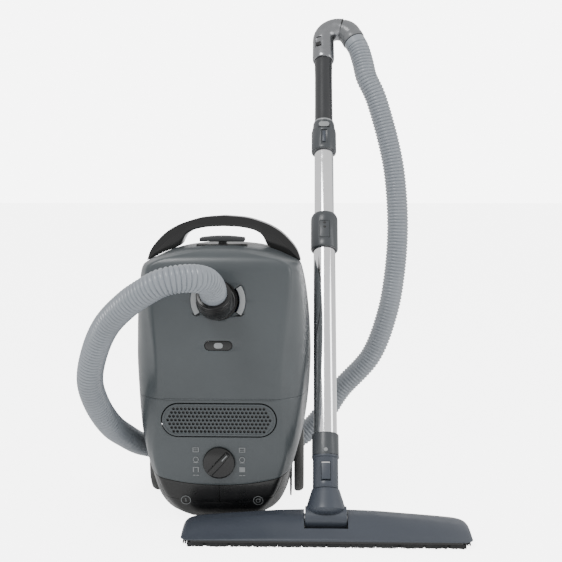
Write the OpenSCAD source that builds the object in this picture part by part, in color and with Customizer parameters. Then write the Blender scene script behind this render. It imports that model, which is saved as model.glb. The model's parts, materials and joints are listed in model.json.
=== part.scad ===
// Canister vacuum cleaner stood on its rear end, with a wide parquet brush on a telescopic wand.
// X runs to the right, Y away from the front, Z up. The floor is at Z 0.

/* [Canister] */
// Height of the body without the carrying handle
body_h = 414.5; // [405:1:425]
// Thickness of the moulded shells
wall = 3; // [2:0.5:4]
// Width of the gaps between moulded parts
seam = 0.5; // [0.3:0.1:1]
// Height of the joint between the hinged lid and the cover below it
lid_z = 193; // [191:1:195]
// Height of the hose socket's centre
socket_z = 338; // [330:1:345]
// Diameter of the selector knob
knob_d = 47; // [40:1:50]
// Diameter of a rear wheel
rear_wheel_d = 107; // [100:1:108]

/* [Floor brush] */
// Width of the brush
brush_w = 410; // [360:5:440]
// Depth of the brush from front to back
brush_d = 90; // [80:1:100]
// Height of the tilt pin above the floor
pivot_z = 28; // [27:1:30]

/* [Wand] */
// Lean of the wand from upright, away from the front
lean = 29; // [20:1:40]
// Outer diameter of the lower tube
lower_tube_d = 35; // [34:0.5:36]
// Outer diameter of the upper tube
upper_tube_d = 32; // [31:0.5:32.4]
// Outer diameter of the handle's grip
grip_d = 32; // [30:1:34]

/* [Hose] */
// Outer diameter of the hose
hose_d = 38; // [34:1:40]

/* [Hidden] */
$fn = 64;
canister_x = -114;
canister_y = -161;
brush_x = 42;
brush_y = -193;
front_depth = 95;
tub_y = 98;
pedal_top_z = 64;
pedal_low_z = 34.5;
wheel_y = 176;
wheel_z = rear_wheel_d / 2 + 3;
wheel_in_x = 108;
wheel_out_x = 124;
axle_r = 6;
motor_x = -52;
motor_y = 145;
reel_y = 118;
reel_z = 102;
castor_z = 352;
castor_cup_r = 27;
castor_cup_y = 196;
castor_y = 216;
castor_trail = 9;
castor_r = 13;
hinge_y = 0.5;
hinge_z = lid_z - 0.5;
socket_r = 29;
spigot_r = 24;
elbow_bend_r = 34;
elbow_bend = 40;
bend_r = 26;
bend_s = 836;
seam_turn = 105;
cuff_turn = 155;
cuff_length = 12;

// Right half of the body's outline seen from the front, from the foot to the crown: [x, z]
body_side = [[58, 3], [74, 6], [88, 16], [97, 32], [103, 50], [107, 70], [115.5, 100], [127, 150],
    [132.5, 200], [134.5, 245], [133, 290], [129.5, 335], [123.5, 370], [118, 388], [100, 396], [85, 404],
    [66, 410], [40, 413],
    [0, body_h]];
// Right half of the plan: [x, y]
plan_side = [[98, 0], [110, 6], [121, 20], [129, 45], [133, 80], [133, 120], [129, 160], [120, 195],
    [108, 209], [95, 214]];
// Profile seen from the right: [y, z]
profile = [[44, 3], [26, 10], [12, 28], [4, 50], [0, 75], [0, 380], [5, 398], [18, 408], [44, body_h],
    [170, body_h], [198, 406], [210, 390], [214, 370], [214, 45], [206, 18], [190, 6], [175, 3]];
// Right half of the handle's outer and inner outlines: [x, z]
handle_outer = [[118, 388], [115, 402], [105, 416], [85, 435], [62, 447], [31, 455.5], [0, 458]];
handle_inner = [[118, 388], [101, 396], [85, 404], [70, 409], [64.5, 418], [58, 429], [44, 436], [22, 440],
    [0, 441]];
// Centre line of the hose, from the elbow to the handle: [x, y, z]
hose_route = [[-114, -228, 355], [-115, -243, 366], [-121, -261, 376], [-134, -279, 381],
    [-154, -289, 381], [-176, -291, 376], [-200, -283, 363], [-226, -269, 345], [-258, -243, 314],
    [-281, -216, 274], [-296, -186, 226], [-294, -151, 182], [-282, -111, 141], [-273, -36, 104],
    [-266, 29, 76], [-256, 89, 54], [-232, 127, 36], [-194, 147, 24], [-154, 151, 21], [-114, 151, 22],
    [-54, 153, 32], [6, 159, 58], [46, 163, 98], [76, 164, 142], [128, 165, 201], [156, 167, 274],
    [169, 169, 346], [174, 171, 428], [169, 173, 512], [157, 176, 578], [135, 180, 654],
    [118, 186, 692], [112, 194, 718], [105, 203, 743], [97.4, 211.6, 758.2]];
hose_sides = 10;
rings_per_span = 2;

function mirrored(half) =
    concat(half, [for (i = [len(half) - 1:-1:0]) if (half[i][0] > 0) [-half[i][0], half[i][1]]]);
function shrunk(points, by, middle, half) =
    [for (p = points) [for (k = [0, 1]) middle[k] + (p[k] - middle[k]) * (half[k] - by) / half[k]]];

// ---------- placing ----------
module at_canister() {
    translate([canister_x, canister_y, 0])
        children();
}

module at_wand() {
    translate([brush_x, brush_y, pivot_z])
        rotate([-lean, 0, 0])
            children();
}

module along_y(y0, y1) {
    translate([0, y1, 0])
        rotate([90, 0, 0])
            linear_extrude(y1 - y0)
                children();
}

module along_x(x0, x1) {
    translate([x0, 0, 0])
        rotate([90, 0, 90])
            linear_extrude(x1 - x0)
                children();
}

module rod_y(r, y0, y1, x = 0, z = 0) {
    translate([x, y1, z])
        rotate([90, 0, 0])
            cylinder(r = r, h = y1 - y0);
}

module rod_x(r, x0, x1, y = 0, z = 0) {
    translate([x0, y, z])
        rotate([0, 90, 0])
            cylinder(r = r, h = x1 - x0);
}

module rod_z(r, z0, z1, x = 0, y = 0) {
    translate([x, y, z0])
        cylinder(r = r, h = z1 - z0);
}

module span(x0, x1, y0, y1, z0, z1) {
    translate([x0, y0, z0])
        cube([x1 - x0, y1 - y0, z1 - z0]);
}

module tube(r_out, r_in, z0, z1) {
    difference() {
        rod_z(r_out, z0, z1);
        rod_z(r_in, z0 - 1, z1 + 1);
    }
}

// The canister's outer form, moved in by an inset and cut to a range of depth and height.
module body_form(inset, y0, y1, z0, z1) {
    intersection() {
        along_y(-1, 215)
            polygon(shrunk(mirrored(body_side), inset, [0, 208.75], [133, 205.75]));
        along_x(-140, 140)
            polygon(shrunk(profile, inset, [107, 208.75], [107, 205.75]));
        linear_extrude(420)
            polygon(shrunk(mirrored(plan_side), inset, [0, 107], [133, 107]));
        span(-140, 140, y0, y1, z0, z1);
    }
}

module body_shell(thickness, y0, y1, z0, z1) {
    difference() {
        body_form(0, y0, y1, z0, z1);
        body_form(thickness, y0 - 1, y1 + 1, z0 - 1, z1 + 1);
    }
}

module stadium(w, h) {
    square([w - h, h], center = true);
    for (side = [-1, 1])
        translate([side * (w - h) / 2, 0])
            circle(d = h);
}

// ---------- canister shells ----------
module wheel_arch(side, r, inner_x) {
    rod_x(r, side > 0 ? inner_x : -140, side > 0 ? 140 : -inner_x, wheel_y, wheel_z);
}

module base_shell() {
    color("dimgray")
        at_canister()
            difference() {
                union() {
                    body_shell(wall, tub_y, 215, 3, 415);
                    intersection() {
                        body_form(0.5, tub_y, 215, 3, 415);
                        for (side = [-1, 1])
                            difference() {
                                wheel_arch(side, 61, 101);
                                wheel_arch(side, 58, 104);
                            }
                    }
                    rod_y(castor_cup_r + wall, castor_cup_y - wall, 213, 0, castor_z);
                }
                for (side = [-1, 1])
                    wheel_arch(side, 58, 104);
                for (side = [-1, 1])
                    rod_x(axle_r, side > 0 ? 90 : -130, side > 0 ? 130 : -90, wheel_y, wheel_z);
                rod_z(10, 0, 20, 35, 130);
                rod_y(castor_cup_r, castor_cup_y, 220, 0, castor_z);
                rod_y(6, 180, 220, 0, castor_z);
            }
}

module rear_cover() {
    color("dimgray")
        at_canister()
            difference() {
                body_shell(wall, -1, front_depth, pedal_top_z + seam, lid_z - 1);
                along_y(-2, 5)
                    translate([0, 162])
                        stadium(168, 49);
                rod_y(knob_d / 2 - 8, -2, 5, 0, 99);
                rod_x(1, -80, 80, hinge_y, hinge_z);
            }
}

module pedal_frame() {
    color("black")
        at_canister()
            difference() {
                union() {
                    body_shell(wall, -1, front_depth, 3, pedal_top_z);
                    span(-92, 92, 16, 19, 12, pedal_top_z);
                }
                span(-96, 96, -2, 16, pedal_low_z, pedal_top_z + 1);
            }
}

module foot_pedal(side) {
    color("black")
        at_canister()
            union() {
                difference() {
                    body_form(0, -1, 9, pedal_low_z + seam, pedal_top_z - seam);
                    span(side > 0 ? -140 : -seam, side > 0 ? seam : 140, -2, 20, 0, 100);
                    for (end = [-1, 1])
                        span(end > 0 ? 95 : -140, end > 0 ? 140 : -95, -2, 20, 0, 100);
                }
                rod_y(4, 8, 12, side * 52, 50);
            }
}

module standing_feet() {
    color("black")
        at_canister()
            for (x = [-42, 42], y = [64, 164])
                rod_z(9, 0, 3, x, y);
}

module carry_handle() {
    color("black")
        at_canister()
            along_y(tub_y, 142)
                polygon(concat(handle_outer,
                    [for (i = [len(handle_outer) - 2:-1:0]) [-handle_outer[i][0], handle_outer[i][1]]],
                    [for (i = [1:len(handle_inner) - 1]) [-handle_inner[i][0], handle_inner[i][1]]],
                    [for (i = [len(handle_inner) - 2:-1:1]) handle_inner[i]]));
}

// ---------- lid and hose socket ----------
module crescent(r_in, r_out, half_angle) {
    intersection() {
        difference() {
            circle(r = r_out);
            circle(r = r_in);
        }
        polygon([[0, 0], 80 * [cos(half_angle), -sin(half_angle)], 80 * [cos(half_angle), sin(half_angle)]]);
    }
}

module lid() {
    color("dimgray")
        at_canister()
            difference() {
                body_shell(wall, -1, front_depth, lid_z, 415);
                rod_y(socket_r, -2, 10, 0, socket_z);
                for (turn = [0, 180])
                    along_y(-2, 10)
                        translate([0, socket_z])
                            rotate(turn)
                                crescent(27, 41, 38);
                along_y(-2, 10)
                    translate([0, 272])
                        stadium(40, 13.5);
                rod_x(1.06, -140, 140, hinge_y, hinge_z);
                span(-8, 8, 76, 88, 405, 420);
            }
}

module lid_hinge_pin() {
    color("silver")
        at_canister()
            rod_x(1, -80, 80, hinge_y, hinge_z);
}

module lid_seal() {
    color("black")
        at_canister()
            difference() {
                body_form(2, front_depth + 0.5, tub_y, lid_z + 3, 412);
                body_form(9, front_depth - 1, tub_y + 1, lid_z + 10, 403);
            }
}

module lid_latch() {
    color("black")
        at_canister()
            union() {
                span(-34, 34, 68, 93, 419.5, 428);
                span(-6, 6, 78, 86, 400, 420);
            }
}

module bag_indicator() {
    color("black")
        at_canister()
            along_y(0, 4)
                translate([0, 272])
                    stadium(40, 13.5);
}

module socket_ring() {
    color("black")
        at_canister()
            difference() {
                rod_y(socket_r, 0, 14, 0, socket_z);
                rod_y(spigot_r + 0.05, -1, 15, 0, socket_z);
            }
}

// Straight spigot, bend and hose sleeve on one centre line, with a small step at each change.
module elbow_solid(r, y_in, sleeve) {
    rod_y(r, -36, y_in);
    translate([0, -34, elbow_bend_r])
        rotate([0, 90, 0])
            rotate([180, 0, 0])
                rotate_extrude(angle = elbow_bend)
                    translate([elbow_bend_r, 0])
                        circle(r = r - 0.5);
    translate([0, -34 - elbow_bend_r * sin(elbow_bend), elbow_bend_r * (1 - cos(elbow_bend))])
        rotate([90 - elbow_bend, 0, 0])
            rod_z(r + 0.5, -1, sleeve);
}

module hose_elbow() {
    color("dimgray")
        at_canister()
            translate([0, 0, socket_z])
                difference() {
                    elbow_solid(spigot_r, 14, 14);
                    elbow_solid(19.5, 15, 15);
                }
}

module elbow_button(turn) {
    color("silver")
        at_canister()
            along_y(-2, 6)
                translate([0, socket_z])
                    rotate(turn)
                        crescent(31, 40, 34);
}

// ---------- grille, knob and electrics ----------
module filter_grille() {
    color("dimgray")
        at_canister()
            along_y(0, 3)
                translate([0, 162])
                    difference() {
                        stadium(167, 48);
                        for (row = [-2:2])
                            for (k = [-6:6])
                                translate([(k + (row % 2 == 0 ? 0 : 0.5)) * 11, row * 8])
                                    circle(r = 2.8);
                    }
}

module exhaust_filter() {
    color("white")
        at_canister()
            span(-66, 66, 7, 24, 144, 180);
}

module selector_knob() {
    color("black")
        at_canister()
            union() {
                rod_y(knob_d / 2, -5, -0.6, 0, 99);
                translate([0, 0, 99])
                    rotate([0, 42, 0])
                        span(-4, 4, -14, -4.5, -21, 21);
                rod_y(3, -5, 20, 0, 99);
            }
}

module circuit_board() {
    color("darkgreen")
        at_canister()
            difference() {
                union() {
                    span(-45, 45, 22, 24, 74, 128);
                    rod_y(9, 12, 22, 0, 99);
                }
                rod_y(3.05, 11, 25, 0, 99);
            }
}

module power_switch() {
    color("black")
        at_canister()
            span(-64, -40, 19, 42, 36, 58);
}

module motor() {
    color("silver")
        at_canister()
            translate([motor_x, motor_y, 0])
                difference() {
                    union() {
                        rod_z(44, 74, 150);
                        rod_z(54, 150, 182);
                    }
                    rod_z(50, 153, 179);
                    rod_z(25, 178, 183);
                    rod_z(4.05, 90, 154);
                }
}

module fan_impeller() {
    color("lightgray")
        at_canister()
            translate([motor_x, motor_y, 0])
                union() {
                    rod_z(47, 158, 159.5);
                    rod_z(14, 158, 172);
                    rod_z(4, 92, 160);
                    for (k = [0:6])
                        rotate(k * 360 / 7)
                            span(12, 45, -0.8, 0.8, 159, 171);
                }
}

module motor_mounts() {
    color("black")
        at_canister()
            translate([motor_x, motor_y, 0])
                union() {
                    tube(48.5, 44, 80, 88);
                    tube(56.5, 54, 160, 170);
                }
}

module motor_filter() {
    color("white")
        at_canister()
            span(-92, 52, 112, 192, 184, 192);
}

module dust_chamber() {
    color("gray")
        at_canister()
            difference() {
                body_form(8, tub_y, 183, lid_z, 404);
                body_form(11, tub_y - 1, 180, lid_z + 3, 401);
            }
}

module dust_bag() {
    color("ivory")
        at_canister()
            span(-84, 84, 46, 176, 204, 388);
}

module bag_holder() {
    color("royalblue")
        at_canister()
            difference() {
                span(-48, 48, 42, 46, 290, 386);
                rod_y(22, 41, 47, 0, socket_z);
            }
}

module reel_bracket() {
    color("gray")
        at_canister()
            union() {
                span(8, 11, 100, 140, 6, reel_z);
                rod_x(34, 8, 11, reel_y, reel_z);
                rod_x(5, 10, 68, reel_y, reel_z);
            }
}

module cable_reel() {
    color("darkgray")
        at_canister()
            difference() {
                union() {
                    rod_x(72, 14, 17, reel_y, reel_z);
                    rod_x(26, 17, 60, reel_y, reel_z);
                    rod_x(72, 60, 63, reel_y, reel_z);
                }
                rod_x(5.05, 13, 70, reel_y, reel_z);
            }
}

// ---------- running gear ----------
module rear_axles() {
    color("silver")
        at_canister()
            for (side = [-1, 1])
                mirror([side > 0 ? 0 : 1, 0, 0])
                    rod_x(axle_r, 92, wheel_out_x - 4, wheel_y, wheel_z);
}

module rear_wheel(side) {
    color("gray")
        at_canister()
            translate([0, wheel_y, wheel_z])
                rotate([0, 90, 0])
                    difference() {
                        translate([0, 0, side > 0 ? wheel_in_x : -wheel_out_x])
                            cylinder(d = rear_wheel_d, h = wheel_out_x - wheel_in_x, $fn = 96);
                        translate([0, 0, side > 0 ? 80 : -wheel_out_x + 3.5])
                            cylinder(r = axle_r + 0.06, h = wheel_out_x - 83.5);
                    }
}

module castor_fork() {
    color("black")
        at_canister()
            difference() {
                union() {
                    rod_y(5.94, 185, 199, 0, castor_z);
                    rod_y(15, castor_cup_y + 0.4, 200, 0, castor_z);
                    for (side = [-1, 1])
                        span(side > 0 ? 9 : -12, side > 0 ? 12 : -9, 199, 222, castor_z - 14, castor_z + 2);
                }
                rod_x(2, -20, 20, castor_y, castor_z - castor_trail);
            }
}

module castor_wheel() {
    color("gray")
        at_canister()
            difference() {
                rod_x(castor_r, -8.5, 8.5, castor_y, castor_z - castor_trail);
                rod_x(2.06, -9, 9, castor_y, castor_z - castor_trail);
            }
}

module castor_pin() {
    color("silver")
        at_canister()
            rod_x(2, -12, 12, castor_y, castor_z - castor_trail);
}

module cord_outlet() {
    color("black")
        at_canister()
            translate([35, 130, 0])
                difference() {
                    union() {
                        rod_z(10, 3, 6);
                        rod_z(13, 6, 9);
                    }
                    rod_z(4.5, 2, 10);
                }
}

module parking_bracket() {
    color("black")
        at_canister()
            difference() {
                span(-17, 17, 214, 224, 92, 128);
                span(-12, 12, 213, 221, 96, 130);
                span(-5, 5, 220, 225, 96, 130);
            }
}

module shell_screws() {
    color("silver")
        at_canister()
            for (x = [-60, 60], z = [200, 380])
                rod_y(3, 196, 204, x, z);
}

// ---------- floor brush ----------
module brush_outline(inset) {
    w = brush_w / 2 - inset;
    d = brush_d / 2 - inset;
    polygon([[-w, -d + 14], [-w + 16, -d], [w - 16, -d], [w, -d + 14], [w, d - 20], [w - 26, d],
        [-w + 26, d], [-w, d - 20]]);
}

module brush_form(inset, z0, z1) {
    intersection() {
        translate([0, 0, z0])
            linear_extrude(z1 - z0)
                brush_outline(inset);
        along_y(-60, 60)
            polygon([[-205, 0], [-205, 18 - inset], [-190, 22 - inset], [-60, 31 - inset], [-34, 36 - inset],
                [34, 36 - inset], [60, 31 - inset], [190, 22 - inset], [205, 18 - inset], [205, 0]]);
        along_x(-210, 210)
            polygon([[-46, 0], [-46, 13 - inset], [-36, 18 - inset], [-12, 33 - inset], [-2, 36 - inset],
                [12, 36 - inset], [30, 31 - inset], [46, 19 - inset], [46, 0]]);
    }
}

module at_brush() {
    translate([brush_x, brush_y, 0])
        children();
}

module brush_top() {
    color("slategray")
        at_brush()
            difference() {
                union() {
                    difference() {
                        brush_form(0, 10, 60);
                        brush_form(3, 9, 60);
                    }
                    for (side = [-1, 1])
                        span(side > 0 ? 31 : -36, side > 0 ? 36 : -31, -14, 14, 10, 35);
                }
                along_x(-31, 31)
                    polygon([[-28, 8], [33, 8], [33, 15], [60, 26], [60, 60], [-28, 60]]);
                rod_x(4, -50, 50, 0, pivot_z);
            }
}

module brush_sole() {
    color("darkslategray")
        at_brush()
            difference() {
                translate([0, 0, 7])
                    linear_extrude(3)
                        brush_outline(1);
                span(-170, 170, -12, 12, 6, 11);
            }
}

module brush_bristles() {
    color("black")
        at_brush()
            difference() {
                linear_extrude(7)
                    brush_outline(3);
                translate([0, 0, -1])
                    linear_extrude(10)
                        brush_outline(13);
            }
}

module tilt_pin() {
    color("silver")
        at_brush()
            rod_x(4, -36, 36, 0, pivot_z);
}

// ---------- wand: Z runs up the wand from the tilt pin ----------
module tilt_knuckle() {
    color("slategray")
        at_wand()
            difference() {
                union() {
                    rod_x(17, -30, 30);
                    translate([0, 0, 2])
                        cylinder(r1 = 20, r2 = 29.5, h = 10);
                    translate([0, 0, 12])
                        cylinder(r1 = 29.5, r2 = 20.5, h = 28.5);
                }
                rod_x(4.06, -40, 40);
                rod_z(17.55, 19, 60);
            }
}

module neck() {
    color("slategray")
        at_wand()
            difference() {
                union() {
                    rod_z(17.5, 20, 41);
                    rod_z(18.8, 41, 86);
                    rod_z(20.3, 86, 89.7);
                }
                rod_z(14.5, 19, 60);
                rod_z(lower_tube_d / 2, 60, 100);
                span(-7, 7, -25, -15, 50, 78);
            }
}

module neck_latch() {
    color("black")
        at_wand()
            span(-6.5, 6.5, -20.6, -19.1, 52, 76);
}

module lower_tube() {
    color("silver")
        at_wand()
            difference() {
                tube(lower_tube_d / 2, lower_tube_d / 2 - 1, 60, 479);
                rod_y(3, -30, 0, 0, 95.5);
            }
}

module lower_collar() {
    color("slategray")
        at_wand()
            difference() {
                tube(20, lower_tube_d / 2, 90, 122.4);
                rod_y(4, -30, 0, 0, 97);
            }
}

module mid_collar() {
    color("dimgray")
        at_wand()
            difference() {
                union() {
                    tube(22, lower_tube_d / 2, 423.6, 479.4);
                    tube(22, upper_tube_d / 2 + 0.3, 479.4, 487);
                }
                span(-8, 8, -25, -15, 438, 468);
            }
}

module telescope_button() {
    color("black")
        at_wand()
            span(-7.5, 7.5, -21.9, -20.1, 438.6, 467.4);
}

module upper_tube() {
    color("silver")
        at_wand()
            difference() {
                tube(upper_tube_d / 2, upper_tube_d / 2 - 1, 330, 660);
                rod_y(3.5, -30, 0, 0, 651);
            }
}

module upper_collar() {
    color("slategray")
        at_wand()
            difference() {
                union() {
                    rod_z(21, 605.6, 646);
                    translate([0, 0, 646])
                        cylinder(r1 = 21, r2 = 18, h = 16);
                }
                rod_z(upper_tube_d / 2, 600, 670);
                span(-10, 10, -25, -17, 644.5, 657.5);
            }
}

module collar_button() {
    color("silver")
        at_wand()
            translate([0, 0, 651])
                along_y(-20.8, -18.9)
                    stadium(18, 10);
}

module handle_grip() {
    color("dimgray")
        at_wand()
            tube(grip_d / 2, 12.5, 662.4, 812);
}

module air_slide() {
    color("black")
        at_wand()
            rotate([0, 0, -30])
                span(-5, 5, -19.7, -17.8, 815, 823);
}

// The bend at the wand's top, from one angle of its turn to another.
module wand_bend(r, from, to) {
    translate([bend_r, 0, bend_s])
        rotate([90, 0, 0])
            rotate([0, 180, 0])
                rotate([0, 0, from])
                    rotate_extrude(angle = to - from)
                        translate([bend_r, 0])
                            circle(r = r);
}

// Moves to a point on the bend's centre line, with Z along it.
module at_bend(turn) {
    translate([bend_r - bend_r * cos(turn), 0, bend_s + bend_r * sin(turn)])
        rotate([0, turn, 0])
            children();
}

module handle_elbow() {
    color("silver")
        at_wand()
            difference() {
                union() {
                    rod_z(19.2, 792, bend_s + 0.1);
                    wand_bend(18.9, 0, seam_turn);
                }
                rod_z(grip_d / 2, 791, 812);
                rod_z(15.2, 811, bend_s + 0.1);
                wand_bend(15, -1, seam_turn + 1);
                rotate([0, 0, -30])
                    span(-6, 6, -21, -17.2, 813, 835);
            }
}

module hose_cuff() {
    color("gray")
        at_wand()
            difference() {
                union() {
                    wand_bend(18.6, seam_turn + 1, cuff_turn);
                    at_bend(cuff_turn)
                        rod_z(20.5, -0.5, cuff_length);
                }
                wand_bend(15, seam_turn, cuff_turn);
                at_bend(cuff_turn)
                    rod_z(16, -1, cuff_length + 1);
            }
}

// ---------- hose ----------
function unit(v) = v / norm(v);
function spline(p, i, t) =
    let (a = p[max(i - 1, 0)], b = p[i], c = p[i + 1], d = p[min(i + 2, len(p) - 1)])
    0.5 * (2 * b + (c - a) * t + (2 * a - 5 * b + 4 * c - d) * t * t + (3 * b - a - 3 * c + d) * t * t * t);
function smooth_route(p) = concat(
    [for (i = [0:len(p) - 2]) for (k = [0:rings_per_span - 1]) spline(p, i, k / rings_per_span)],
    [p[len(p) - 1]]);
function heading(q, i) = unit(q[min(i + 1, len(q) - 1)] - q[max(i - 1, 0)]);
function across(q, i, last) = let (h = heading(q, i)) unit(last - (last * h) * h);
function frames(q, i, last) =
    i >= len(q) ? [] : let (a = across(q, i, last)) concat([a], frames(q, i + 1, a));

module hose() {
    q = smooth_route(hose_route);
    sides = frames(q, 0, [1, 0, 0]);
    rings = [for (i = [0:len(q) - 1]) for (k = [0:hose_sides - 1])
        let (a = sides[i], b = cross(heading(q, i), a), turn = 360 * k / hose_sides)
        q[i] + hose_d / 2 * (cos(turn) * a + sin(turn) * b)];
    walls = [for (i = [0:len(q) - 2]) for (k = [0:hose_sides - 1])
        let (next = (k + 1) % hose_sides)
        [i * hose_sides + k, (i + 1) * hose_sides + k, (i + 1) * hose_sides + next, i * hose_sides + next]];
    first = [for (k = [0:hose_sides - 1]) k];
    last = [for (k = [hose_sides - 1:-1:0]) (len(q) - 1) * hose_sides + k];
    color("lightgray")
        polyhedron(rings, concat(walls, [first, last]));
}

base_shell();
rear_cover();
pedal_frame();
foot_pedal(-1);  // power_pedal
foot_pedal(1);  // rewind_pedal
standing_feet();
carry_handle();
lid();
lid_hinge_pin();
lid_seal();
lid_latch();
bag_indicator();
socket_ring();
hose_elbow();
elbow_button(180);  // elbow_button_left
elbow_button(0);  // elbow_button_right
filter_grille();
exhaust_filter();
selector_knob();
circuit_board();
power_switch();
motor();
fan_impeller();
motor_mounts();
motor_filter();
dust_chamber();
dust_bag();
bag_holder();
reel_bracket();
cable_reel();
rear_axles();
rear_wheel(-1);  // rear_wheel_left
rear_wheel(1);  // rear_wheel_right
castor_fork();
castor_wheel();
castor_pin();
cord_outlet();
parking_bracket();
shell_screws();
brush_top();
brush_sole();
brush_bristles();
tilt_pin();
tilt_knuckle();
neck();
neck_latch();
lower_collar();
lower_tube();
mid_collar();
telescope_button();
upper_tube();
upper_collar();
collar_button();
handle_grip();
handle_elbow();
air_slide();
hose_cuff();
hose();
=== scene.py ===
"""Looks of a canister vacuum cleaner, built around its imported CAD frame.

Everything is in metres in the CAD frame: X to the right, Y away from the front, Z up, floor at Z 0.
Canister outlines are in millimetres in the canister's own frame (X from its middle, Y back from its
face, Z up), and wand outlines in millimetres along the wand from the brush's tilt pin.
"""

import json
import math

import bmesh
import bpy
import numpy as np
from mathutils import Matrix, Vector


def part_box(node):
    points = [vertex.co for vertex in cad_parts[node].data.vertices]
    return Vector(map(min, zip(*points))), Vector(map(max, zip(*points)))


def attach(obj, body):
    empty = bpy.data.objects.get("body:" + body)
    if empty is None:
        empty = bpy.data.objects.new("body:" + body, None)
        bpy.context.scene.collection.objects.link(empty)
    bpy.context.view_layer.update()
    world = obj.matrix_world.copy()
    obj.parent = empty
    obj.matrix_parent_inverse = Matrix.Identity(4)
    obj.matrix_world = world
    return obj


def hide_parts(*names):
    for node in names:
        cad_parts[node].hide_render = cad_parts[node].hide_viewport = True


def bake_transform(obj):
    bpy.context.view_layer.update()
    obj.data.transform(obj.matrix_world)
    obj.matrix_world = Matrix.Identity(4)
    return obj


MM = 0.001
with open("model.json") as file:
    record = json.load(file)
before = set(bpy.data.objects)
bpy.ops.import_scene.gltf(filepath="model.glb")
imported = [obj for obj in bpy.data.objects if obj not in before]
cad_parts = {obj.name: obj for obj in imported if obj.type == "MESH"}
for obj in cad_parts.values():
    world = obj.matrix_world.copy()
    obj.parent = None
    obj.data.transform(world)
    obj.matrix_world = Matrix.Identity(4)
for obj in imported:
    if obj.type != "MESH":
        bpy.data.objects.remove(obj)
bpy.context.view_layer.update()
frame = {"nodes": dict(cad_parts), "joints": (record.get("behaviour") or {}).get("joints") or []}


# ---------------------------------------------------------------- places taken from the frame


def joint(name):
    return next(j for j in frame["joints"] if j["name"] == name)


def middle(node):
    low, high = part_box(node)
    return (Vector(low) + Vector(high)) / 2


COVER_LOW, COVER_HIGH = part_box("rear_cover")
CANISTER = Vector(((COVER_LOW[0] + COVER_HIGH[0]) / 2, COVER_LOW[1], 0.0))
SEAM_Z = (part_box("lid")[0][2] - CANISTER.z) / MM
FRONT_DEPTH = (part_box("lid")[1][1] - CANISTER.y) / MM
TUB_Y = (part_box("base_shell")[0][1] - CANISTER.y) / MM
KNOB_Z = middle("selector_knob").z / MM
GRILLE_Z = middle("filter_grille").z / MM
INDICATOR_Z = middle("bag_indicator").z / MM
SOCKET_Z = middle("socket_ring").z / MM

PIVOT = middle("tilt_pin")
WAND_AXIS = Vector(joint("wand_swivel")["axis"]).normalized()
WAND_SIDE = Vector((1.0, 0.0, 0.0))
WAND_BACK = WAND_AXIS.cross(WAND_SIDE)
BRUSH = Vector((PIVOT.x, PIVOT.y, 0.0))


def canister_point(x, y, z):
    return CANISTER + Vector((x, y, z)) * MM


def wand_point(x, y, s):
    """A point beside the wand: x to the right, y away from the front, s up the wand from the tilt pin."""
    return PIVOT + (WAND_SIDE * x + WAND_BACK * y + WAND_AXIS * s) * MM


def brush_point(x, y, z):
    return BRUSH + Vector((x, y, z)) * MM


# ---------------------------------------------------------------- materials


def new_material(name, colour, rough, metallic=0.0, coat=0.0):
    material = bpy.data.materials.new(name)
    material.use_nodes = True
    shader = material.node_tree.nodes["Principled BSDF"]
    shader.inputs["Base Color"].default_value = (*colour, 1.0)
    shader.inputs["Roughness"].default_value = rough
    shader.inputs["Metallic"].default_value = metallic
    shader.inputs["Coat Weight"].default_value = coat
    shader.inputs["Coat Roughness"].default_value = 0.12
    return material, shader


def add_noise(material, scale, detail=3.0, stretch=(1.0, 1.0, 1.0)):
    """Noise in the object's own place, which stays on the piece as it moves."""
    nodes, links = material.node_tree.nodes, material.node_tree.links
    place = nodes.new("ShaderNodeTexCoord")
    mapping = nodes.new("ShaderNodeMapping")
    mapping.inputs["Scale"].default_value = stretch
    noise = nodes.new("ShaderNodeTexNoise")
    noise.inputs["Scale"].default_value = scale
    noise.inputs["Detail"].default_value = detail
    links.new(place.outputs["Object"], mapping.inputs["Vector"])
    links.new(mapping.outputs["Vector"], noise.inputs["Vector"])
    return noise


def vary_colour(material, shader, colour, amount, scale):
    nodes, links = material.node_tree.nodes, material.node_tree.links
    noise = add_noise(material, scale)
    ramp = nodes.new("ShaderNodeValToRGB")
    ramp.color_ramp.elements[0].position = 0.3
    ramp.color_ramp.elements[1].position = 0.7
    ramp.color_ramp.elements[0].color = (*[c * (1 - amount) for c in colour], 1.0)
    ramp.color_ramp.elements[1].color = (*[min(c * (1 + amount), 1.0) for c in colour], 1.0)
    links.new(noise.outputs["Fac"], ramp.inputs["Fac"])
    links.new(ramp.outputs["Color"], shader.inputs["Base Color"])


def vary_roughness(material, shader, low, high, scale, stretch=(1.0, 1.0, 1.0)):
    nodes, links = material.node_tree.nodes, material.node_tree.links
    noise = add_noise(material, scale, 5.0, stretch)
    span = nodes.new("ShaderNodeMapRange")
    span.inputs["From Min"].default_value = 0.3
    span.inputs["From Max"].default_value = 0.7
    span.inputs["To Min"].default_value = low
    span.inputs["To Max"].default_value = high
    links.new(noise.outputs["Fac"], span.inputs["Value"])
    links.new(span.outputs["Result"], shader.inputs["Roughness"])


def add_bump(material, shader, scale, height, stretch=(1.0, 1.0, 1.0)):
    nodes, links = material.node_tree.nodes, material.node_tree.links
    noise = add_noise(material, scale, 2.0, stretch)
    bump = nodes.new("ShaderNodeBump")
    bump.inputs["Strength"].default_value = 1.0
    bump.inputs["Distance"].default_value = height
    links.new(noise.outputs["Fac"], bump.inputs["Height"])
    links.new(bump.outputs["Normal"], shader.inputs["Normal"])


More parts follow.
